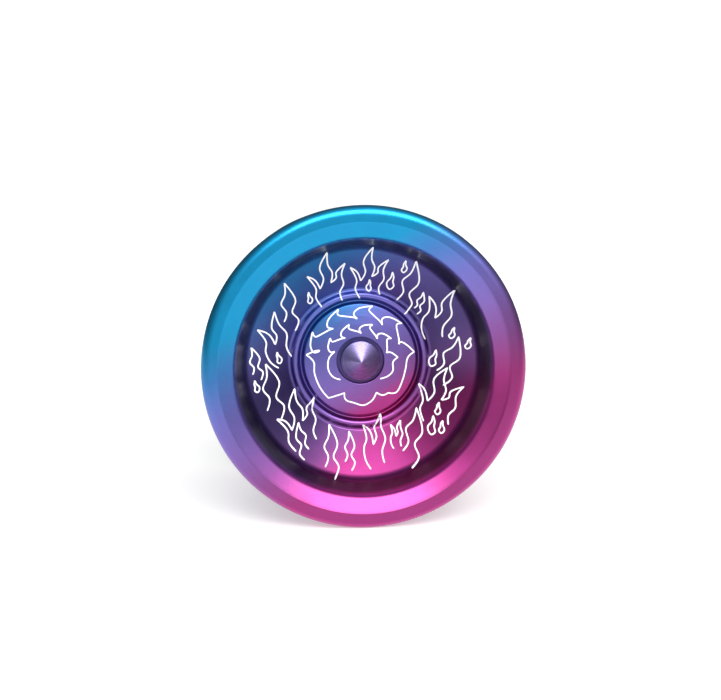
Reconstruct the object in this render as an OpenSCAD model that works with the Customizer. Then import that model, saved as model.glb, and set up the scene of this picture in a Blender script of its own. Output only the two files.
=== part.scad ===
// Ball-bearing yo-yo: two machined aluminium halves on a threaded axle, a size C bearing between them.
// The axle lies along Y through the origin, which is the centre of the yo-yo. Front half towards -Y.
// Half profiles are drawn as [radius, distance from the centre plane] and turned about the axle.

/* [Yo-yo body] */
// Outer radius of the rims
rim_r = 27.5; // [27:0.1:28.5]
// Half of the overall width along the axle
half_w = 20.5; // [20.3:0.1:21.5]
// Width of the string gap between the response faces
gap_w = 4.4; // [4.2:0.1:4.4]
// Radius of the narrow flat crest between the rim face and the outer rounding
crest_r = 25.3; // [25:0.1:25.6]
// Width of the flat crest, which the yo-yo rests on when it lies on its side
crest_w = 1.1; // [0.8:0.1:1.4]
// Depth of the conical rim face at the lip of the cup
lip_depth = 1.4; // [1:0.05:1.6]
// Radius of the lip of the cup
lip_r = 22; // [21.6:0.1:22.4]

/* [Cup] */
// Radius where the cup wall meets the floor
floor_r = 20.75; // [20.3:0.05:21.2]
// Depth of the floor at the foot of the wall
floor_depth = 7.1; // [6.6:0.1:7.5]
// Radius where the floor meets the hub ring
ring_foot_r = 12.6; // [12.5:0.05:12.9]
// Depth of the floor at the hub ring, its deepest place
ring_foot_depth = 13.5; // [13:0.1:13.6]
// Radius of the crest of the hub ring
ring_crest_r = 11.6; // [11.5:0.05:11.65]
// Height of the hub ring above the floor at its foot, before rounding
ring_h = 1.5; // [1.3:0.05:1.6]
// Radius of the edge of the dome inside the hub ring
dome_r = 10.3; // [10:0.05:10.4]
// Depth of the dome at its edge
dome_edge_depth = 13.1; // [13:0.1:13.3]
// Depth of the dome beside the cone
dome_depth = 12.3; // [12.2:0.05:12.4]

/* [Centre cone] */
// Radius of the foot of the cone
cone_r = 3.55; // [3.4:0.05:3.7]
// Depth of the tip of the cone
cone_tip_depth = 9.6; // [9.3:0.1:9.9]
// Depth of the foot of the cone
cone_foot_depth = 11.9; // [11.8:0.05:12]
// Width of the groove round the cone
cone_groove_w = 0.7; // [0.5:0.05:0.8]
// Depth of the floor of the groove round the cone
cone_groove_depth = 13.2; // [13:0.1:13.4]

/* [Axle and bearing] */
// Radius of the M4 axle
axle_r = 2; // [1.9:0.05:2]
// Length of the axle
axle_len = 12; // [11:0.5:12.5]
// Inner radius of the bearing
bore_r = 3.175; // [3.17:0.005:3.18]
// Outer radius of the bearing
bearing_r = 6.35; // [6.3:0.05:6.4]
// Width of the bearing
bearing_w = 4.763; // [4.7:0.001:4.8]
// Radius of the balls
ball_r = 0.794; // [0.78:0.001:0.8]

/* [Response pads] */
// Inner radius of the silicone pads
pad_in_r = 7.35; // [7.2:0.05:7.5]
// Outer radius of the silicone pads
pad_out_r = 9.55; // [9.4:0.05:9.6]
// Thickness of the silicone pads
pad_t = 1.1; // [1:0.05:1.15]

/* [Hidden] */

$fn = 96;
overlap = 0.01;
arc_step = 10;

// Clearances between pieces that are not one body
thread_gap = 0.03;
post_gap = 0.025;
face_gap = 0.02;
pad_gap = 0.05;
ball_gap = 0.036;

// Quarter-round from the crest to the outside of the rim
rim_round = min(rim_r - crest_r - crest_w / 2, 3);

// The domed face falls 3 tenths of its height in its inner half and 7 tenths in its outer half
dome_half = (dome_r - cone_r - cone_groove_w) / 2;
dome_fall = dome_edge_depth - dome_depth;
dome_mid_r = dome_r - dome_half;
dome_mid_depth = dome_depth + 0.3 * dome_fall;
dome_turn = atan(0.7 * dome_fall / dome_half) - atan(0.3 * dome_fall / dome_half);
dome_round = 0.85 * dome_half / tan(dome_turn / 2);

// Narrow foot of the groove between dome and ring
groove_in_r = dome_r + 0.4;
groove_out_r = groove_in_r + 0.16;
groove_depth = 15.1;

// String side of a half
response_w = gap_w / 2;
response_r = 10.3;
throat_r = 11.6;
throat_w = 2.6;
slope_in_r = 14.5;
slope_in_w = 5.6;
slope_out_r = 23.6;
slope_out_w = 13.2;
rim_back_w = half_w - 4.1;

// Bearing seat in a half
post_r = bore_r - post_gap;
post_end_w = 0.35;
shoulder_r = 4;
shoulder_w = bearing_w / 2 + face_gap;
relief_r = 6.6;
relief_w = 2.8;
axle_hole_r = axle_r + thread_gap;
axle_hole_w = axle_len / 2 + 0.6;
pad_floor_w = response_w + pad_t + pad_gap;

// Bearing
ball_n = 10;
pitch_r = (bore_r + bearing_r) / 2;
race_in_r = pitch_r - 0.6125;
race_out_r = pitch_r + 0.6125;
race_r = ball_r + ball_gap;
seat_r = 5.75;
seat_y = 1.95;
clip_groove_r = 5.97;
clip_t = 0.14;
clip_y = 2.14;
shield_t = 0.15;
shield_in_r = 4.27;
cage_in_r = 4.4;
cage_out_r = 5.12;
cage_w = 2.3;

// Colours
violet = [0.42, 0.32, 0.68];
steel = [0.72, 0.73, 0.75];
bright_steel = [0.86, 0.87, 0.88];
dark_steel = [0.35, 0.36, 0.38];
silicone = [0.93, 0.93, 0.9];

function unit(v) = v / norm(v);

// Points of the arc that rounds corner b, between its neighbours a and c, to radius rad
function rounded(a, b, c, rad) =
    rad == 0 ? [b] :
    let(u = unit(a - b),
        v = unit(c - b),
        half = acos(u * v) / 2,
        centre = b + unit(u + v) * rad / sin(half),
        first = b + u * rad / tan(half) - centre,
        turn = (u[0] * v[1] - u[1] * v[0] > 0 ? -1 : 1) * (180 - 2 * half),
        n = max(2, ceil(abs(turn) / arc_step)))
    [for (i = [0:n])
        let(t = turn * i / n)
        centre + [first[0] * cos(t) - first[1] * sin(t), first[0] * sin(t) + first[1] * cos(t)]];

// An outline from corners [x, y, rounding]
function outline(c) =
    let(n = len(c), p = [for (k = c) [k[0], k[1]]])
    [for (i = [0:n - 1]) each rounded(p[(i + n - 1) % n], p[i], p[(i + 1) % n], c[i][2])];

// Corners of a half: [radius, distance from the centre plane, rounding]
half_corners = [
    // cone, its groove and the dome
    [0, half_w - cone_tip_depth, 0],
    [cone_r, half_w - cone_foot_depth, 0.15],
    [cone_r, half_w - cone_groove_depth, 0],
    [cone_r + cone_groove_w, half_w - cone_groove_depth, 0],
    [cone_r + cone_groove_w, half_w - dome_depth, 0.15],
    [dome_mid_r, half_w - dome_mid_depth, dome_round],
    [dome_r, half_w - dome_edge_depth, 0.35],
    // groove and hub ring
    [groove_in_r, half_w - groove_depth, 0.05],
    [groove_out_r, half_w - groove_depth, 0.05],
    [ring_crest_r, half_w - ring_foot_depth + ring_h, 0.4],
    [ring_foot_r, half_w - ring_foot_depth, 0.5],
    // floor, wall and rim
    [floor_r, half_w - floor_depth, 3],
    [lip_r, half_w - lip_depth, 1.1],
    [crest_r - crest_w / 2, half_w, 0.4],
    [rim_r, half_w, rim_round],
    // string side
    [rim_r, rim_back_w, 1],
    [slope_out_r, slope_out_w, 3],
    [slope_in_r, slope_in_w, 5],
    [throat_r, throat_w, 1.2],
    [response_r, response_w, 0.6],
    // pad groove and bearing seat
    [pad_out_r + pad_gap, response_w, 0],
    [pad_out_r + pad_gap, pad_floor_w, 0],
    [pad_in_r - pad_gap, pad_floor_w, 0],
    [pad_in_r - pad_gap, response_w, 0.1],
    [relief_r, response_w, 0.15],
    [relief_r, relief_w, 0],
    [shoulder_r, relief_w, 0],
    [shoulder_r, shoulder_w, 0],
    [post_r, shoulder_w, 0],
    [post_r, post_end_w, 0.2],
    [axle_hole_r, post_end_w, 0.15],
    [axle_hole_r, axle_hole_w, 0],
    [0, axle_hole_w + 0.6, 0]];

// Turns a [radius, distance] outline about the axle, side -1 for the front and 1 for the rear
module turned(side) {
    rotate([side * -90, 0, 0]) rotate_extrude() children();
}

// A plain ring about the axle, from distance a to distance b on one side
module ring(side, r_in, r_out, a, b) {
    turned(side) translate([r_in, a]) square([r_out - r_in, b - a]);
}

module yoyo_half(side) {
    color(violet) turned(side) polygon(outline(half_corners));
}

module response_pad(side) {
    color(silicone)
        ring(side, pad_in_r, pad_out_r, response_w + pad_gap, response_w + pad_gap + pad_t - overlap);
}

module half_front() { yoyo_half(-1); }
module half_rear() { yoyo_half(1); }
module response_pad_front() { response_pad(-1); }
module response_pad_rear() { response_pad(1); }

// Grub screw with chamfered ends and a hex socket in its front end
module axle_screw() {
    chamfer = 0.4;
    socket_r = 1.15;
    socket_depth = 2.2;
    color(dark_steel) difference() {
        turned(1) polygon([
            [0, -axle_len / 2], [axle_r - chamfer, -axle_len / 2], [axle_r, chamfer - axle_len / 2],
            [axle_r, axle_len / 2 - chamfer], [axle_r - chamfer, axle_len / 2], [0, axle_len / 2]]);
        translate([0, socket_depth - axle_len / 2, 0])
            rotate([90, 0, 0]) cylinder(r = socket_r, h = socket_depth + 1, $fn = 6);
    }
}

// Section of the groove that the balls run in
module race_groove() {
    translate([pitch_r, 0]) circle(r = race_r, $fn = 64);
}

module bearing_inner_race() {
    edge = 0.2;
    w = bearing_w / 2;
    color(steel) turned(1) difference() {
        polygon([[bore_r, edge - w], [bore_r + edge, -w], [race_in_r - edge, -w], [race_in_r, edge - w],
                 [race_in_r, w - edge], [race_in_r - edge, w], [bore_r + edge, w], [bore_r, w - edge]]);
        race_groove();
    }
}

// Outer race, stepped at both ends for a shield and grooved for its clip
module bearing_outer_race() {
    edge = 0.25;
    w = bearing_w / 2;
    groove_a = clip_y - 0.02;
    groove_b = clip_y + clip_t + 0.02;
    end_profile = [[race_out_r, seat_y], [seat_r, seat_y], [seat_r, groove_a], [clip_groove_r, groove_a],
                   [clip_groove_r, groove_b], [seat_r, groove_b], [seat_r, w], [bearing_r - edge, w],
                   [bearing_r, w - edge]];
    n = len(end_profile);
    other_end = [for (i = [n - 1:-1:0]) [end_profile[i][0], -end_profile[i][1]]];
    color(steel) turned(1) difference() {
        polygon(concat(end_profile, other_end));
        race_groove();
    }
}

// Ring between the races with a pocket for each ball
module bearing_cage() {
    color(dark_steel) difference() {
        turned(1) translate([cage_in_r, -cage_w / 2]) square([cage_out_r - cage_in_r, cage_w]);
        for (i = [1:ball_n]) ball_place(i) sphere(r = race_r, $fn = 48);
    }
}

module ball_place(i) {
    rotate([0, (i - 0.5) * 360 / ball_n, 0]) translate([pitch_r, 0, 0]) children();
}

module ball(i) {
    color(bright_steel) ball_place(i) sphere(r = ball_r, $fn = 48);
}

module shield(side) {
    color(steel) ring(side, shield_in_r, seat_r - 0.02, seat_y + 0.01, seat_y + 0.01 + shield_t);
}

// C-shaped wire clip, open at the top
module shield_clip(side) {
    wire_w = 0.34;
    opening = 25;
    color(bright_steel) rotate([side * -90, 0, 0]) rotate([0, 0, side * 90 + opening / 2])
        rotate_extrude(angle = 360 - opening)
            translate([clip_groove_r - 0.03 - wire_w, clip_y]) square([wire_w, clip_t]);
}

module shield_front() { shield(-1); }
module shield_rear() { shield(1); }
module shield_clip_front() { shield_clip(-1); }
module shield_clip_rear() { shield_clip(1); }

half_front();
half_rear();
axle_screw();
response_pad_front();
response_pad_rear();
bearing_inner_race();
bearing_outer_race();
bearing_cage();
shield_front();
shield_rear();
shield_clip_front();
shield_clip_rear();
ball(1);  // ball_01
ball(2);  // ball_02
ball(3);  // ball_03
ball(4);  // ball_04
ball(5);  // ball_05
ball(6);  // ball_06
ball(7);  // ball_07
ball(8);  // ball_08
ball(9);  // ball_09
ball(10);  // ball_10
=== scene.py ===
"""Ball-bearing yo-yo, standing on its rims on a white table. Lengths are in metres, in the CAD frame."""
from math import acos, ceil, cos, degrees, pi, radians, sin, tan

import bmesh
import bpy
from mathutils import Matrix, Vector


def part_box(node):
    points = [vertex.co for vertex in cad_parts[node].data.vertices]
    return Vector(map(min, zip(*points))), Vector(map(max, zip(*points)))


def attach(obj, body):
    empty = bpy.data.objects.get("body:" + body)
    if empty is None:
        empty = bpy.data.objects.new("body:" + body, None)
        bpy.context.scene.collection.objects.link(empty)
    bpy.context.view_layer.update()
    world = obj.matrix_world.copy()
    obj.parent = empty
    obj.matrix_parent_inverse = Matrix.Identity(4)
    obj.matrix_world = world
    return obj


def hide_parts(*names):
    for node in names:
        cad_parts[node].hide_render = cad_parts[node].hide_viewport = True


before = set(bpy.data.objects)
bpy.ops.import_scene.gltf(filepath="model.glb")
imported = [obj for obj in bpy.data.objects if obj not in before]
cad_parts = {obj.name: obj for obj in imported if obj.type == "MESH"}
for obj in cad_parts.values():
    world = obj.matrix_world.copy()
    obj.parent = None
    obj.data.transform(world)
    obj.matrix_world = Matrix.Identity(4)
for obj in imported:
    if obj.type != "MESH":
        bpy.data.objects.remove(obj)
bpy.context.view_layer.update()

MM = 0.001

# ---------------------------------------------------------------------------------------------
# Sizes of a half, in mm. CONE_TIP, CONE_FOOT and RING_FOOT are depths below the rim's crest
# ---------------------------------------------------------------------------------------------
HALF_W = -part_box("half_front")[0].y / MM
RIM_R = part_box("half_front")[1].x / MM
CONE_R = 3.55
CONE_TIP = 9.6
CONE_FOOT = 11.9
RING_FOOT = 13.5
# The rim's finish starts at this radius, just inside the cup's edge
RIM_FINISH_R = 21.9
# How far the cone's finish reaches below its foot, past the rounding there
CONE_FINISH_BELOW = 0.2
# Steps round a turned piece
LATHE_TURNS = 168

# Corners of the face, from the cone to the rim: radius, depth below the rim's crest, rounding
CUP_CORNERS = [
    (CONE_R, CONE_FOOT, 0.15), (CONE_R, 13.2, 0.05), (CONE_R + 0.7, 13.2, 0.05), (CONE_R + 0.7, 12.3, 0.15),
    (7.275, 12.54, 40.0), (10.15, 13.1, 0.4), (10.75, 14.1, 0.2),
    (11.6, RING_FOOT - 1.5, 0.6), (12.7, RING_FOOT, 0.5), (20.75, 7.1, 3.0), (22.0, 1.4, 1.1),
    (24.75, 0, 0.4), (RIM_R, 0, 1.65)]
# How many of them lie up to the cup's edge
UP_TO_EDGE = 11
# The string side: radius, distance from the centre plane, rounding
STRING_CORNERS = [
    (RIM_R, 16.4, 1.0), (23.6, 13.2, 3.0), (14.5, 5.6, 5.0), (11.6, 2.6, 1.2), (10.3, 2.2, 0.6),
    (9.6, 2.2, 0.06), (9.6, 3.35, 0.05), (7.3, 3.35, 0.05), (7.3, 2.2, 0.1), (6.6, 2.2, 0.15),
    (6.6, 2.8, 0.05), (4.0, 2.8, 0.05), (4.0, 2.4, 0.04), (3.15, 2.4, 0.04), (3.15, 0.35, 0.2),
    (2.03, 0.35, 0.15), (2.03, 6.6, 0.05)]
# Distance of the drill point of the axle's hole from the centre plane
AXLE_HOLE_W = 7.2


def rounded(a, b, c, rad, step=6.0):
    """Points of the arc that rounds corner b, between its neighbours a and c."""
    if rad == 0:
        return [b]
    u, v = (a - b).normalized(), (c - b).normalized()
    half = acos(max(-1.0, min(1.0, u.dot(v)))) / 2
    centre = b + (u + v).normalized() * rad / sin(half)
    first = b + u * rad / tan(half) - centre
    turn = (-1 if u.x * v.y - u.y * v.x > 0 else 1) * (pi - 2 * half)
    n = max(3, ceil(abs(degrees(turn)) / step))
    arc = [(first.x * cos(turn * i / n) - first.y * sin(turn * i / n),
            first.x * sin(turn * i / n) + first.y * cos(turn * i / n)) for i in range(n + 1)]
    return [centre + Vector(p) for p in arc]


def rounded_path(corners):
    """An open path through corners (x, y, rounding); its two ends stay as they are."""
    p = [Vector(c[:2]) for c in corners]
    path = [p[0]]
    for i in range(1, len(p) - 1):
        path += rounded(p[i - 1], p[i], p[i + 1], corners[i][2])
    return path + [p[-1]]


def supported(path, edge=0.03, longest=0.9):
    """Adds points beside each end of a straight stretch, so that smooth shading keeps it straight."""
    out = [path[0]]
    for a, b in zip(path, path[1:]):
        length = (b - a).length
        if length > 4 * edge:
            inner = length - 2 * edge
            n = max(1, ceil(inner / longest))
            out += [a + (b - a) * ((edge + inner * k / n) / length) for k in range(n + 1)]
        out.append(b)
    return out


def lathe(name, path, side):
    """Turns a path of (radius, distance), in mm, about the axle. side is -1 in front and 1 behind."""
    bm = bmesh.new()
    turns = [2 * pi * k / LATHE_TURNS for k in range(LATHE_TURNS)]
    rings = []
    for r, w in path:
        if r < 1e-6:
            rings.append([bm.verts.new((0, side * w * MM, 0))])
        else:
            rings.append([bm.verts.new((r * MM * sin(t), side * w * MM, r * MM * cos(t))) for t in turns])
    for a, b in zip(rings, rings[1:]):
        for k in range(LATHE_TURNS):
            j = (k + 1) % LATHE_TURNS
            corner = [a[k % len(a)], a[j % len(a)], b[j % len(b)], b[k % len(b)]]
            face = list(dict.fromkeys(corner))
            bm.faces.new(face)
    bmesh.ops.recalc_face_normals(bm, faces=bm.faces)
    for f in bm.faces:
        f.smooth = True
    return to_object(name, bm)


def to_object(name, bm):
    mesh = bpy.data.meshes.new(name)
    bm.to_mesh(mesh)
    bm.free()
    obj = bpy.data.objects.new(name, mesh)
    bpy.context.scene.collection.objects.link(obj)
    return obj


# ---------------------------------------------------------------------------------------------
# Camera: close in front of the yo-yo, a little above and to the left of its axle
# ---------------------------------------------------------------------------------------------
CAMERA_AZIMUTH = radians(-4.6)
CAMERA_ELEVATION = radians(9.0)
CAMERA_DISTANCE = 0.158
LENS = 47.2
AIM = Vector((-0.92 * MM, -HALF_W * MM, 3.57 * MM))


def add_camera():
    front = Vector((0, -HALF_W * MM, 0))
    back = Vector((sin(CAMERA_AZIMUTH) * cos(CAMERA_ELEVATION),
                   -cos(CAMERA_AZIMUTH) * cos(CAMERA_ELEVATION), sin(CAMERA_ELEVATION)))
    cam = bpy.data.objects.new("camera", bpy.data.cameras.new("camera"))
    cam.data.sensor_width = 36
    cam.data.lens = LENS
    cam.data.clip_start = 0.01
    cam.location = front + back * CAMERA_DISTANCE
    cam.rotation_euler = (AIM - cam.location).to_track_quat("-Z", "Y").to_euler()
    bpy.context.scene.collection.objects.link(cam)
    bpy.context.scene.camera = cam


# ---------------------------------------------------------------------------------------------
# Materials
# ---------------------------------------------------------------------------------------------
class Nodes:
    """A short way to write a material's node tree."""

    def __init__(self, name):
        self.material = bpy.data.materials.new(name)
        self.material.use_nodes = True
        self.tree = self.material.node_tree
        self.shader = self.tree.nodes["Principled BSDF"]
        self.object = self.add("ShaderNodeTexCoord").outputs["Object"]

    def add(self, kind, inputs=None, **settings):
        node = self.tree.nodes.new(kind)
        for key, value in settings.items():
            setattr(node, key, value)
        for key, value in (inputs or {}).items():
            if isinstance(value, bpy.types.NodeSocket):
                self.tree.links.new(value, node.inputs[key])
            else:
                node.inputs[key].default_value = value
        return node

    def radius(self):
        """Distance from the axle."""
        flat = self.add("ShaderNodeVectorMath", {0: self.object, 1: (1, 0, 1)}, operation="MULTIPLY")
        return self.add("ShaderNodeVectorMath", {0: flat.outputs[0]}, operation="LENGTH").outputs["Value"]

    def lines(self, scale):
        """Fine rings about the axle, as a lathe tool leaves them."""
        return self.add("ShaderNodeTexNoise", {"W": self.math("MULTIPLY", self.radius(), scale), "Scale": 1.0,
                                               "Detail": 3.0}, noise_dimensions="1D").outputs["Fac"]

    def math(self, operation, a, b=0.0, clamp=False):
        return self.add("ShaderNodeMath", {0: a, 1: b}, operation=operation, use_clamp=clamp).outputs[0]

    def noise(self, scale, detail=3.0, roughness=0.55, vector=None):
        return self.add("ShaderNodeTexNoise", {"Vector": vector or self.object, "Scale": scale,
                                               "Detail": detail, "Roughness": roughness}).outputs["Fac"]

    def ramp(self, fac, stops):
        node = self.add("ShaderNodeValToRGB", {"Fac": fac})
        ramp = node.color_ramp
        while len(ramp.elements) < len(stops):
            ramp.elements.new(0.5)
        for element, (place, colour) in zip(ramp.elements, stops):
            element.position = place
            element.color = (*colour, 1)
        return node.outputs["Color"]

    def plain(self, colour):
        node = self.add("ShaderNodeRGB")
        node.outputs[0].default_value = (*colour, 1)
        return node.outputs[0]

    def remap(self, value, low, high, to_low, to_high):
        return self.add("ShaderNodeMapRange", {"Value": value, "From Min": low, "From Max": high,
                                               "To Min": to_low, "To Max": to_high}).outputs["Result"]

    def tint(self, colour, fac, amount):
        """colour, made lighter and darker by fac, a value around 0.5."""
        value = self.remap(fac, 0.25, 0.75, 1 - amount, 1 + amount)
        node = self.add("ShaderNodeHueSaturation", {"Color": colour, "Value": value})
        return node.outputs["Color"]

    def bump(self, height, strength, distance, normal=None):
        inputs = {"Height": height, "Strength": strength, "Distance": distance}
        if normal is not None:
            inputs["Normal"] = normal
        return self.add("ShaderNodeBump", inputs).outputs["Normal"]

    def finish(self, links=None, **constants):
        """links and constants go to the shader's sockets; an underscore stands for a space."""
        for key, value in constants.items():
            self.shader.inputs[key.replace("_", " ")].default_value = value
        for key, value in (links or {}).items():
            self.tree.links.new(value, self.shader.inputs[key])
        return self.material


# The dye fades along this direction across the yo-yo, from magenta to cyan
FADE_DIRECTION = Vector((-0.52, 0, 0.855))
MAGENTA = (0.41, 0.038, 0.225)
PLUM = (0.26, 0.076, 0.30)
VIOLET = (0.205, 0.124, 0.43)
INDIGO = (0.15, 0.148, 0.49)
BLUE = (0.045, 0.19, 0.49)
CYAN = (0.001, 0.265, 0.52)
# Mixed into the fade on the cone as a painted whitish sheen
CONE_PAINTED_SHEEN = (0.44, 0.38, 0.62, 1)
# Stops of the fade: 0 is the magenta rim and 1 the cyan rim
FADE = [(0.26, MAGENTA), (0.38, PLUM), (0.50, VIOLET), (0.61, INDIGO), (0.72, BLUE), (0.80, CYAN)]
CUP_FADE = [(0.24, MAGENTA), (0.31, PLUM), (0.45, VIOLET), (0.67, INDIGO), (0.80, BLUE), (0.90, CYAN)]
# Painted shade across the cup, darker in the grooves, on the floor and most of all on the wall: radius in mm,
# brightness
CUP_PAINTED_SHADE = [(3.5, 1.0), (3.6, 0.4), (4.2, 0.4), (4.35, 0.9), (9.9, 0.9), (10.4, 0.75), (11.1, 0.8),
             (11.5, 1.0), (12.4, 1.0), (13.2, 0.6), (19.8, 0.6), (20.6, 0.2), (21.6, 0.2), (22.0, 1.0)]
CUP_PAINTED_SHADE_END = 24
# The fade runs this much faster across the dome, and changes to its usual rate between these radii
DOME_SPREAD = 1.7
DOME_EDGE = (10.4, 11.4)
# In the ring of flames the painted shade is deeper where the fade is violet than towards its two ends. This
# comes in between these radii
HUB_EDGE = (11.5, 14.0)

# Painted shade on the flat crest: how much darker it is towards magenta and towards cyan, where it is a
# little brighter
CREST_PAINTED_SHADE = (0.27, -0.04)


def fade_position(n):
    """How far along the fade a point lies: -1 at the magenta rim, 1 at the cyan rim."""
    return n.add("ShaderNodeVectorMath", {0: n.object, 1: FADE_DIRECTION / (RIM_R * MM)},
                 operation="DOT_PRODUCT").outputs["Value"]


def anodised_colour(n, stops=FADE, spread=1.0):
    """The dyed fade, with the soft uneven edges of a hand-dipped dye."""
    along = n.math("MULTIPLY", fade_position(n), spread)
    wander = n.remap(n.noise(45, 2), 0.2, 0.8, -0.05, 0.05)
    fade = n.remap(n.math("ADD", along, wander), -1, 1, 0, 1)
    return n.ramp(fade, stops)


def painted_cup_shade(n):
    """Painted shade in the cup, by radius and by how far along the fade."""
    stops = [(r / CUP_PAINTED_SHADE_END, (level, level, level)) for r, level in CUP_PAINTED_SHADE]
    by_radius = n.ramp(n.math("MULTIPLY", n.radius(), 1 / (CUP_PAINTED_SHADE_END * MM)), stops)
    # Painted shade: darker where the fade is violet, lighter towards its two ends
    by_side = n.remap(n.math("ABSOLUTE", fade_position(n)), 0.1, 0.6, 0.65, 1.3)
    hub = n.remap(n.radius(), HUB_EDGE[0] * MM, HUB_EDGE[1] * MM, 1.0, 0.0)
    return n.math("MULTIPLY", by_radius, n.math("MAXIMUM", hub, by_side))


def crest_painted_shade(n):
    """Painted shade outside the cup: darker on the flat crest, except at its cyan end."""
    width = n.math("ABSOLUTE", n.add("ShaderNodeSeparateXYZ", {0: n.object}).outputs[1])
    on_crest = n.remap(width, (HALF_W - 0.3) * MM, (HALF_W - 0.05) * MM, 0.0, 1.0)
    less = n.remap(fade_position(n), -0.5, 0.4, *CREST_PAINTED_SHADE)
    return n.math("SUBTRACT", 1.0, n.math("MULTIPLY", on_crest, less))


def anodised_material(name, cup=False):
    """Bead-blasted aluminium under a clear layer of dye, darkened by painted shade in the cup and on the
    crest.
    """
    n = Nodes(name)
    if cup:
        spread = n.remap(n.radius(), DOME_EDGE[0] * MM, DOME_EDGE[1] * MM, DOME_SPREAD, 1.0)
        colour = anodised_colour(n, CUP_FADE, spread)
        shade = painted_cup_shade(n)
    else:
        colour = anodised_colour(n)
        shade = crest_painted_shade(n)
    # The dye's colour is darkened here by painted shade
    colour = n.add("ShaderNodeHueSaturation", {"Color": colour, "Value": shade}).outputs["Color"]
    colour = n.tint(colour, n.noise(5200, 2, 0.6), 0.05)
    colour = n.tint(colour, n.noise(160, 4), 0.04)
    grain = n.noise(3600, 3, 0.7)
    rough = n.remap(n.noise(420, 4), 0.3, 0.7, 0.31, 0.36)
    normal = n.bump(grain, 0.35, 0.00003)
    return n.finish({"Base Color": colour, "Roughness": rough, "Normal": normal}, Metallic=1.0,
                    Coat_Weight=0.15 if cup else 0.3, Coat_Roughness=0.22, Coat_IOR=1.6)


def turned_material():
    """The centre cone: the dye with a painted whitish sheen mixed in, on a fine turned finish."""
    n = Nodes("turned_aluminium")
    # Painted whitish sheen mixed into the dye
    painted_sheen_mix = n.add("ShaderNodeMixRGB", {"Fac": 0.45, "Color1": anodised_colour(n), "Color2": CONE_PAINTED_SHEEN})
    colour = n.tint(painted_sheen_mix.outputs["Color"], n.noise(160, 4), 0.04)
    lines = n.lines(9000)
    rough = n.remap(lines, 0.3, 0.7, 0.27, 0.34)
    normal = n.bump(lines, 0.25, 0.00002)
    tangent = n.add("ShaderNodeTangent", direction_type="RADIAL", axis="Y").outputs[0]
    return n.finish({"Base Color": colour, "Roughness": rough, "Normal": normal, "Tangent": tangent},
                    Metallic=1.0, Anisotropic=0.3, Coat_Weight=0.4, Coat_Roughness=0.2, Coat_IOR=1.6)


def steel_material(name, colour, roughness, bump=0.1):
    """Ground steel with turning lines."""
    n = Nodes(name)
    tinted = n.tint(n.plain(colour), n.noise(900, 3), 0.06)
    rough = n.remap(n.noise(1500, 4), 0.3, 0.7, roughness * 0.8, roughness * 1.25)
    normal = n.bump(n.lines(4000), bump, 0.00002)
    return n.finish({"Base Color": tinted, "Roughness": rough, "Normal": normal}, Metallic=1.0)


def silicone_material():
    """Off-white silicone of the response pads."""
    n = Nodes("silicone")
    tinted = n.tint(n.plain((0.82, 0.83, 0.80)), n.noise(700, 4), 0.05)
    rough = n.remap(n.noise(1200, 3), 0.3, 0.7, 0.42, 0.58)
    normal = n.bump(n.noise(2500, 3), 0.3, 0.00004)
    return n.finish({"Base Color": tinted, "Roughness": rough, "Normal": normal},
                    Subsurface_Weight=0.25, Subsurface_Scale=0.001, Specular_IOR_Level=0.35)


def engraved_material():
    """Bare aluminium, frosted white where the beam has burnt the dye away, with a faint painted glow."""
    n = Nodes("engraved_aluminium")
    tinted = n.tint(n.plain((0.93, 0.93, 0.95)), n.noise(6000, 2), 0.06)
    rough = n.remap(n.noise(5000, 3), 0.3, 0.7, 0.5, 0.7)
    normal = n.bump(n.noise(7000, 2), 0.3, 0.00002)
    # The emission is a painted glow that keeps the lines white in the cup's shade
    return n.finish({"Base Color": tinted, "Roughness": rough, "Normal": normal},
                    Metallic=0.0, Emission_Color=(1, 1, 1, 1), Emission_Strength=0.2)


# ---------------------------------------------------------------------------------------------
# Pieces
# ---------------------------------------------------------------------------------------------
def cup_corners(last=None):
    """Corners from the cone's tip outwards, as (radius, distance from the centre plane, rounding)."""
    return [(0, HALF_W - CONE_TIP, 0)] + [(r, HALF_W - depth, rad) for r, depth, rad in CUP_CORNERS[:last]]


def half_path():
    """A half's whole section, from the cone's tip round to the bottom of the axle's hole."""
    return supported(rounded_path(cup_corners() + STRING_CORNERS + [(0, AXLE_HOLE_W, 0)]))


def add_half(name, side, node, body, materials):
    """A turned half. Its materials are those of the rim and string side, of the cone and of the cup."""
    path = half_path()
    half = lathe(name, path, side)
    for m in materials:
        half.data.materials.append(m)
    rim = next(i for i, p in enumerate(path) if p.x > RIM_FINISH_R)
    cone_end = HALF_W - CONE_FOOT - CONE_FINISH_BELOW
    for f in half.data.polygons:
        band = f.index // LATHE_TURNS
        if band < rim:
            inner, outer = path[band], path[band + 1]
            on_cone = max(inner.x, outer.x) <= CONE_R and outer.y > cone_end
            f.material_index = 1 if on_cone else 2
    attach(half, body)
    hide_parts(node)


def add_halves():
    materials = [anodised_material("anodised_aluminium"), turned_material(),
                 anodised_material("anodised_cup", cup=True)]
    add_half("front_half_shell", -1, "half_front", "front_half", materials)
    add_half("rear_half_shell", 1, "half_rear", "rear_half", materials)
    engraved = engraved_material()
    add_flames("front_flames", -1, "front_half", engraved)
    add_flames("rear_flames", 1, "rear_half", engraved)


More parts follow.
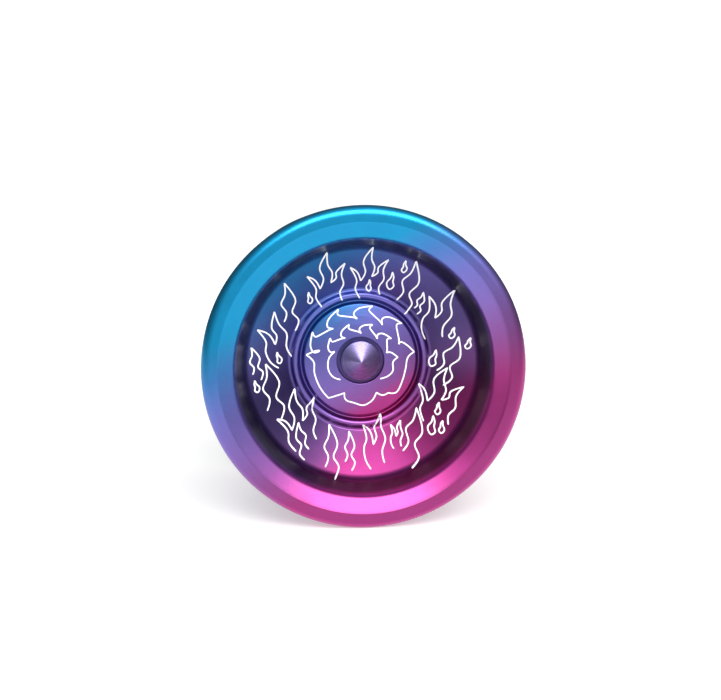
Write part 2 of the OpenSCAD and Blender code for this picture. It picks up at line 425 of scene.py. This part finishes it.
# ---------------------------------------------------------------------------------------------
# Flames burnt into the cups: points as (sideways, up, corner) in units of a flame's height
# ---------------------------------------------------------------------------------------------
TWIN = [(-0.10, -0.34, 1), (-0.26, -0.10, 0), (-0.30, 0.20, 0), (-0.22, 0.46, 0), (-0.34, 0.84, 1),
        (-0.10, 0.62, 0), (-0.02, 0.30, 1), (0.08, 0.52, 0), (0.02, 0.78, 0), (0.20, 1.16, 1),
        (0.22, 0.80, 0), (0.34, 0.48, 0), (0.24, 0.14, 0), (0.30, -0.16, 1)]
TRIPLE = [(-0.22, -0.42, 1), (-0.36, -0.14, 0), (-0.34, 0.14, 0), (-0.56, 0.52, 1), (-0.34, 0.38, 0),
          (-0.22, 0.12, 1), (-0.10, 0.40, 0), (-0.18, 0.74, 0), (0.06, 1.14, 1), (0.05, 0.80, 0),
          (0.16, 0.54, 0), (0.10, 0.26, 1), (0.26, 0.38, 0), (0.28, 0.56, 0), (0.54, 0.78, 1),
          (0.42, 0.48, 0), (0.46, 0.18, 0), (0.34, -0.06, 0), (0.38, -0.30, 1)]
HOOK = [(0.02, -0.62, 1), (-0.16, -0.30, 0), (-0.02, 0.02, 0), (-0.20, 0.40, 0), (0.02, 1.0, 1),
        (0.08, 0.64, 0), (0.26, 0.36, 0), (0.16, 0.04, 0), (0.30, -0.24, 1)]
DROP = [(0.04, -0.06, 0), (-0.16, 0.10, 0), (-0.22, 0.38, 0), (-0.04, 0.70, 0), (0.0, 1.08, 1),
        (0.14, 0.76, 0), (0.14, 0.46, 0), (0.24, 0.16, 0), (0.04, -0.06, 0)]
# The large flames: shapes with their sizes, how many, the first one's angle, then in mm their radius, their
# height and how far they stand in or out by turns
LARGE = [(TRIPLE, 1.0), (HOOK, 0.95), (TWIN, 1.0), (HOOK, 0.85)]
LARGE_COUNT = 13
LARGE_FIRST = 5
LARGE_RADIUS = 15.9
LARGE_HEIGHT = 5.9
LARGE_WOBBLE = 0.45
# The small flames that fill the gaps: shapes with their heights, and how many places to try. Each place
# is a step further round, as a share of a turn, and a step further out, as a share of the ring's width
SMALL = [(TWIN, 4.2), (HOOK, 3.8), (TWIN, 3.2), (DROP, 2.8), (HOOK, 2.6), (DROP, 1.9)]
SMALL_TRIES = 720
TURN_STEP = 0.7549
RADIUS_STEP = 0.5698
# The ring that small flames keep within, and how far they stay from other lines, in mm
FLAMES_IN = 12.3
FLAMES_OUT = 20.1
CLEAR = 0.62
# How far flames at the sides lean out, in degrees
LEAN = 15
# How much taller large flames are at the sides, and which height of a shape is placed at its radius
SIDE_STRETCH = 0.15
FLAME_MIDDLE = 0.3
# One tongue of the crowns round the cone: degrees from its foot, share of the height, corner
TONGUE = [(0, 0, 1), (-4, 0.40, 0), (3, 0.75, 0), (17, 1.0, 1), (14, 0.66, 0), (21, 0.36, 0), (30, 0.16, 0)]
TONGUE_PITCH = 36


def crown(first, count, foot, tip):
    """A row of tongues over the top of the cone."""
    points = []
    for k in range(count):
        start = first + TONGUE_PITCH * k
        points += [(start + a, foot + (tip - foot) * share, corner) for a, share, corner in TONGUE]
    return points + [(first + TONGUE_PITCH * count, foot, 1)]


# Crowns as angle from the top, radius in mm, corner
OUTER_CROWN = crown(-76, 4, 7.5, 10.0) + [
    (66, 8.0, 0), (72, 8.8, 0), (82, 9.9, 1), (88, 8.6, 0), (102, 8.4, 0), (118, 8.6, 0), (132, 8.9, 0),
    (140, 7.9, 1), (148, 7.6, 0), (154, 6.6, 1), (164, 7.7, 0), (176, 8.3, 0), (188, 7.9, 0), (200, 7.7, 0),
    (206, 6.6, 1), (214, 7.8, 0), (220, 9.0, 1), (236, 8.8, 0), (254, 8.6, 0), (268, 8.4, 0), (276, 9.8, 1),
    (282, 8.3, 0), (284, 7.5, 1)]
INNER_CROWN = [(-134, 5.0, 1), (-120, 5.8, 0), (-104, 6.0, 0), (-86, 5.7, 0)] + crown(-70, 4, 4.9, 6.8) + [
    (76, 5.7, 0), (86, 6.8, 1), (94, 5.9, 0), (108, 6.2, 0), (120, 5.8, 0), (134, 4.9, 1)]
# Width of a line, how far it stands proud of the cup's face and how far it reaches below it, in mm
LINE_W = 0.3
LINE_H = 0.02
LINE_ROOT = 0.06


def flame_curve(points, per=9):
    """A smooth curve through the points, with sharp turns at the corners."""
    closed = points[0][:2] == points[-1][:2]
    last = len(points) - 1
    curve = []
    for i in range(last):
        b, c = Vector(points[i][:2]), Vector(points[i + 1][:2])
        before = points[i - 1] if i else (points[-2] if closed else None)
        after = points[i + 2] if i + 2 <= last else (points[1] if closed else None)
        leave = (c - Vector(before[:2])) / 2 if before and not points[i][2] else None
        arrive = (Vector(after[:2]) - b) / 2 if after and not points[i + 1][2] else None
        if leave is None:
            leave = 1.5 * (c - b) - 0.5 * (arrive or c - b)
        if arrive is None:
            arrive = 1.5 * (c - b) - 0.5 * leave
        for k in range(per):
            t = k / per
            curve.append(b * (2 * t ** 3 - 3 * t ** 2 + 1) + leave * (t ** 3 - 2 * t ** 2 + t)
                         + c * (3 * t ** 2 - 2 * t ** 3) + arrive * (t ** 3 - t ** 2))
    return curve if closed else curve + [Vector(points[-1][:2])], closed


def place_flame(shape, turn, radius, height, flip):
    """A flame at an angle from the top, pointing up and leaning out at the sides."""
    slant = radians(LEAN * sin(turn))
    curve, closed = flame_curve(shape)
    placed = []
    for p in curve:
        u, v = (-p.x if flip else p.x) * height, (p.y - FLAME_MIDDLE) * height
        placed.append(Vector((radius * sin(turn) + u * cos(slant) + v * sin(slant),
                              radius * cos(turn) - u * sin(slant) + v * cos(slant))))
    return evened(placed, closed), closed


def has_room(points, lines):
    """Whether a flame lies within the ring and clear of the others."""
    if not all(FLAMES_IN < p.length < FLAMES_OUT for p in points):
        return False
    return all((p - q).length > CLEAR for p in points[::3] for line, closed in lines for q in line[::3])


def flame_lines():
    """Every flame as (points across the cup's face in mm, is it a closed line)."""
    lines = []
    for k in range(LARGE_COUNT):
        shape, size = LARGE[k % len(LARGE)]
        turn = radians(LARGE_FIRST + 360 * k / LARGE_COUNT)
        radius = LARGE_RADIUS + (LARGE_WOBBLE if k % 2 else -LARGE_WOBBLE)
        height = LARGE_HEIGHT * size * (1 + SIDE_STRETCH * abs(sin(turn)))
        lines.append(place_flame(shape, turn, radius, height, k % 2))
    for k in range(SMALL_TRIES):
        shape, height = SMALL[k * len(SMALL) // SMALL_TRIES]
        turn = 2 * pi * (k * TURN_STEP % 1.0)
        radius = FLAMES_IN + (FLAMES_OUT - FLAMES_IN) * (k * RADIUS_STEP % 1.0)
        points, closed = place_flame(shape, turn, radius, height, k % 2)
        if has_room(points, lines):
            lines.append((points, closed))
    for crown_line in (OUTER_CROWN, INNER_CROWN):
        corners = [(r * sin(radians(a)), r * cos(radians(a)), corner) for a, r, corner in crown_line]
        curve, closed = flame_curve(corners)
        lines.append((evened(curve, closed), closed))
    return lines


def evened(points, closed, step=0.16):
    """The same line with points about a step apart."""
    points = points + points[:1] if closed else points
    lengths = [(b - a).length for a, b in zip(points, points[1:])]
    count = max(4, round(sum(lengths) / step))
    out, done, i = [], 0.0, 0
    for k in range(count + (0 if closed else 1)):
        want = sum(lengths) * k / count
        while i < len(lengths) - 1 and done + lengths[i] < want:
            done += lengths[i]
            i += 1
        share = min(1.0, (want - done) / max(lengths[i], 1e-9))
        out.append(points[i].lerp(points[i + 1], share))
    return out


def face_of_cup():
    """Looks up the cup's face at a radius: its distance from the centre plane and its normal."""
    face = rounded_path(cup_corners(UP_TO_EDGE))

    def look(r):
        for a, b in zip(face, face[1:]):
            if a.x <= r <= b.x and b.x - a.x > 1e-6:
                t = (b - a).normalized()
                return a.y + (b.y - a.y) * (r - a.x) / (b.x - a.x), Vector((-t.y, t.x))
        return face[-1].y, Vector((0, 1))
    return look


def add_flames(name, side, body, material):
    """Thin closed ribbons that follow the cup's face and stand a hair proud of it."""
    look = face_of_cup()
    bm = bmesh.new()
    for points, closed in flame_lines():
        rings = []
        for i, p in enumerate(points):
            a = points[i - 1] if i or closed else p
            b = points[(i + 1) % len(points)] if i < len(points) - 1 or closed else p
            across = Vector((-(b - a).y, (b - a).x)).normalized()
            end = 0.35 if not closed and i in (0, len(points) - 1) else 1.0
            ring = []
            for sideways, lift in ((-0.5, -LINE_ROOT), (-0.42, LINE_H), (0.42, LINE_H), (0.5, -LINE_ROOT)):
                q = p + across * (sideways * LINE_W * end)
                w, normal = look(q.length)
                radial = q.normalized() * (q.length + lift * normal.x)
                y = side * (w + lift * normal.y)
                ring.append(bm.verts.new((-side * radial.x * MM, y * MM, radial.y * MM)))
            rings.append(ring)
        pairs = list(zip(rings, rings[1:] + rings[:1])) if closed else list(zip(rings, rings[1:]))
        for a, b in pairs:
            for k in range(4):
                bm.faces.new((a[k], a[(k + 1) % 4], b[(k + 1) % 4], b[k]))
        if not closed:
            bm.faces.new(rings[0])
            bm.faces.new(rings[-1])
    bmesh.ops.recalc_face_normals(bm, faces=bm.faces)
    flames = to_object(name, bm)
    flames.data.materials.append(material)
    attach(flames, body)


# The axle's thread, the chamfer of its ends and its hex socket, in mm, and its steps round and along a thread
THREAD_PITCH = 0.7
THREAD_DEPTH = 0.38
AXLE_CHAMFER = 0.4
SOCKET_R = 1.15
SOCKET_DEPTH = 2.2
SOCKET_CHAMFER = 0.12
SOCKET_LIP = 0.05
AXLE_TURNS = 48
THREAD_STEPS = 4


def threaded_material():
    """Blackened steel."""
    n = Nodes("threaded_steel")
    colour = n.tint(n.plain((0.07, 0.07, 0.078)), n.noise(900, 3), 0.12)
    rough = n.remap(n.noise(1500, 4), 0.3, 0.7, 0.3, 0.45)
    normal = n.bump(n.noise(3000, 3), 0.2, 0.00002)
    return n.finish({"Base Color": colour, "Roughness": rough, "Normal": normal}, Metallic=1.0)


def axle_rings(outer, length):
    """The axle's rings as (distance from its front end, function from turn to radius), in mm and radians."""
    def round_at(radius):
        return lambda turn: radius

    def socket_at(turn):
        return SOCKET_R / cos((turn + pi / 6) % (pi / 3) - pi / 6)

    def thread_at(along):
        fit = min(1.0, along / (2 * AXLE_CHAMFER), (length - along) / (2 * AXLE_CHAMFER))

        def radius(turn):
            share = abs((along / THREAD_PITCH + turn / (2 * pi)) % 1.0 - 0.5) * 2
            return outer - THREAD_DEPTH + THREAD_DEPTH * share * fit
        return radius

    steps = int(length / THREAD_PITCH * THREAD_STEPS) - 4
    thread = [AXLE_CHAMFER + (length - 2 * AXLE_CHAMFER) * k / steps for k in range(steps + 1)]
    edge = round_at(outer - AXLE_CHAMFER)
    socket = [(SOCKET_DEPTH, socket_at), (SOCKET_LIP, socket_at), (0, round_at(SOCKET_R + SOCKET_CHAMFER))]
    return socket + [(0, edge)] + [(along, thread_at(along)) for along in thread] + [(length, edge)]


def add_axle():
    """The grub screw, with its thread and hex socket."""
    low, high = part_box("axle_screw")
    turns = [2 * pi * k / AXLE_TURNS for k in range(AXLE_TURNS)]
    bm = bmesh.new()
    rings = []
    for along, radius in axle_rings(high.x / MM, (high.y - low.y) / MM):
        rings.append([bm.verts.new((radius(t) * MM * sin(t), low.y + along * MM, radius(t) * MM * cos(t)))
                      for t in turns])
    for a, b in zip(rings, rings[1:]):
        for k in range(AXLE_TURNS):
            j = (k + 1) % AXLE_TURNS
            bm.faces.new((a[k], a[j], b[j], b[k]))
    bm.faces.new(rings[0])
    bm.faces.new(rings[-1])
    bmesh.ops.recalc_face_normals(bm, faces=bm.faces)
    for f in bm.faces:
        f.smooth = len(f.verts) == 4
    screw = to_object("threaded_axle", bm)
    screw.data.materials.append(threaded_material())
    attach(screw, "rear_half")
    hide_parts("axle_screw")


def dress_cad_nodes():
    """Gives the small pieces that keep their CAD shape their materials."""
    race = steel_material("bearing_steel", (0.62, 0.63, 0.65), 0.22)
    cage = steel_material("cage_steel", (0.45, 0.45, 0.47), 0.34)
    ball = steel_material("polished_steel", (0.80, 0.81, 0.83), 0.08, bump=0.02)
    pad = silicone_material()
    wanted = {"bearing_inner_race": race, "bearing_outer_race": race, "shield": race, "shield_clip": ball,
              "bearing_cage": cage, "ball": ball, "response_pad": pad}
    for name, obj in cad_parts.items():
        key = max((k for k in wanted if name.startswith(k)), key=len, default=None)
        if key:
            for slot in obj.material_slots:
                slot.material = wanted[key]


# ---------------------------------------------------------------------------------------------
# Table and light
# ---------------------------------------------------------------------------------------------
TABLE_SIZE = 3.0
# The table changes between these distances along Y, in front of the yo-yo and behind it
TABLE_FRONT = (-0.20, -0.06)
TABLE_BACK = (0.0, 0.35)
# Its glow far in front and near the yo-yo, as mirrored and as seen directly, and what is added behind
MIRRORED_GLOW = (0.12, 0.42)
DIRECT_GLOW = (0.75, 0.42)
BACK_GLOW = 0.5


def add_table():
    """A white table top. The yo-yo mirrors it as darker far in front, and it is brighter behind."""
    n = Nodes("table_white")
    y = n.add("ShaderNodeSeparateXYZ", {0: n.object}).outputs[1]
    near = n.add("ShaderNodeMapRange", {"Value": y, "From Min": TABLE_FRONT[0], "From Max": TABLE_FRONT[1]},
                 interpolation_type="SMOOTHSTEP").outputs["Result"]
    far = n.add("ShaderNodeMapRange", {"Value": y, "From Min": TABLE_BACK[0], "From Max": TABLE_BACK[1]},
                interpolation_type="SMOOTHSTEP").outputs["Result"]
    seen = n.add("ShaderNodeLightPath").outputs["Is Camera Ray"]
    mirrored = n.remap(near, 0, 1, *MIRRORED_GLOW)
    direct = n.remap(near, 0, 1, *DIRECT_GLOW)
    mixed = n.add("ShaderNodeMix", {"Factor": seen, "A": mirrored, "B": direct}, data_type="FLOAT")
    glow = n.math("ADD", mixed.outputs["Result"], n.math("MULTIPLY", far, BACK_GLOW))
    base = n.ramp(near, [(0, (0.40, 0.40, 0.395)), (1, (0.85, 0.86, 0.845))])
    table = n.finish({"Base Color": n.tint(base, n.noise(6, 2), 0.01), "Emission Strength": glow},
                     Roughness=0.6, Specular_IOR_Level=0.2, Emission_Color=(1, 1, 1, 1))
    bm = bmesh.new()
    corners = [(-1, -1), (1, -1), (1, 1), (-1, 1)]
    bm.faces.new([bm.verts.new((x * TABLE_SIZE, y * TABLE_SIZE, -RIM_R * MM)) for x, y in corners])
    floor = to_object("table", bm)
    floor.data.materials.append(table)


def toward(azimuth, elevation, distance):
    """A place in front of the yo-yo, by its azimuth to the right and its elevation, in degrees."""
    a, e = radians(azimuth), radians(elevation)
    return Vector((sin(a) * cos(e), -cos(a) * cos(e), sin(e))) * distance


# The softbox faces the yo-yo's centre: its place, size and power
SOFTBOX_PLACE = toward(5, 41, 0.6)
SOFTBOX_SIZE = (0.48, 0.33)
SOFTBOX_POWER = 3.0
# The room: where its glow is centred, and how bright it is at angles from there, in degrees
GLOW_AZIMUTH = 12
GLOW_ELEVATION = 40
GLOW_STRENGTH = 1.5
GLOW = [(180, 0.07), (120, 0.08), (85, 0.14), (60, 0.25), (42, 0.45), (26, 0.75), (0, 0.9)]
# How bright the white background is to the camera
BACKGROUND_WHITE = 1.1


def add_softbox():
    """The lamp above the camera."""
    data = bpy.data.lights.new("softbox", "AREA")
    data.shape = "RECTANGLE"
    data.size, data.size_y = SOFTBOX_SIZE
    data.energy = SOFTBOX_POWER
    light = bpy.data.objects.new("softbox", data)
    light.location = SOFTBOX_PLACE
    light.rotation_euler = (-SOFTBOX_PLACE).to_track_quat("-Z", "Y").to_euler()
    bpy.context.scene.collection.objects.link(light)


def add_world():
    """White to the camera; to the yo-yo, a room whose glow is centred on the softbox and dies away behind."""
    world = bpy.data.worlds.new("studio")
    world.use_nodes = True
    tree = world.node_tree

    def add(kind, **settings):
        node = tree.nodes.new(kind)
        for key, value in settings.items():
            setattr(node, key, value)
        return node

    place = add("ShaderNodeTexCoord")
    toward_light = add("ShaderNodeVectorMath", operation="DOT_PRODUCT")
    toward_light.inputs[1].default_value = toward(GLOW_AZIMUTH, GLOW_ELEVATION, 1.0)
    tree.links.new(place.outputs["Generated"], toward_light.inputs[0])
    glow = add("ShaderNodeValToRGB")
    glow.color_ramp.interpolation = "EASE"
    while len(glow.color_ramp.elements) < len(GLOW):
        glow.color_ramp.elements.new(0.5)
    for element, (angle, level) in zip(glow.color_ramp.elements, GLOW):
        element.position = (1 + cos(radians(angle))) / 2
        element.color = (level, level, level, 1)
    half = add("ShaderNodeMath", operation="MULTIPLY_ADD")
    half.inputs[1].default_value = 0.5
    half.inputs[2].default_value = 0.5
    tree.links.new(toward_light.outputs["Value"], half.inputs[0])
    tree.links.new(half.outputs[0], glow.inputs["Fac"])
    room = tree.nodes["Background"]
    room.inputs["Strength"].default_value = GLOW_STRENGTH
    tree.links.new(glow.outputs["Color"], room.inputs["Color"])
    white = add("ShaderNodeBackground")
    white.inputs["Color"].default_value = (1, 1, 1, 1)
    white.inputs["Strength"].default_value = BACKGROUND_WHITE
    mix = add("ShaderNodeMixShader")
    path = add("ShaderNodeLightPath")
    tree.links.new(path.outputs["Is Camera Ray"], mix.inputs[0])
    tree.links.new(room.outputs[0], mix.inputs[1])
    tree.links.new(white.outputs[0], mix.inputs[2])
    tree.links.new(mix.outputs[0], tree.nodes["World Output"].inputs["Surface"])
    bpy.context.scene.world = world
    bpy.context.scene.view_settings.view_transform = "Standard"


add_camera()
add_halves()
add_axle()
dress_cad_nodes()
add_table()
add_softbox()
add_world()
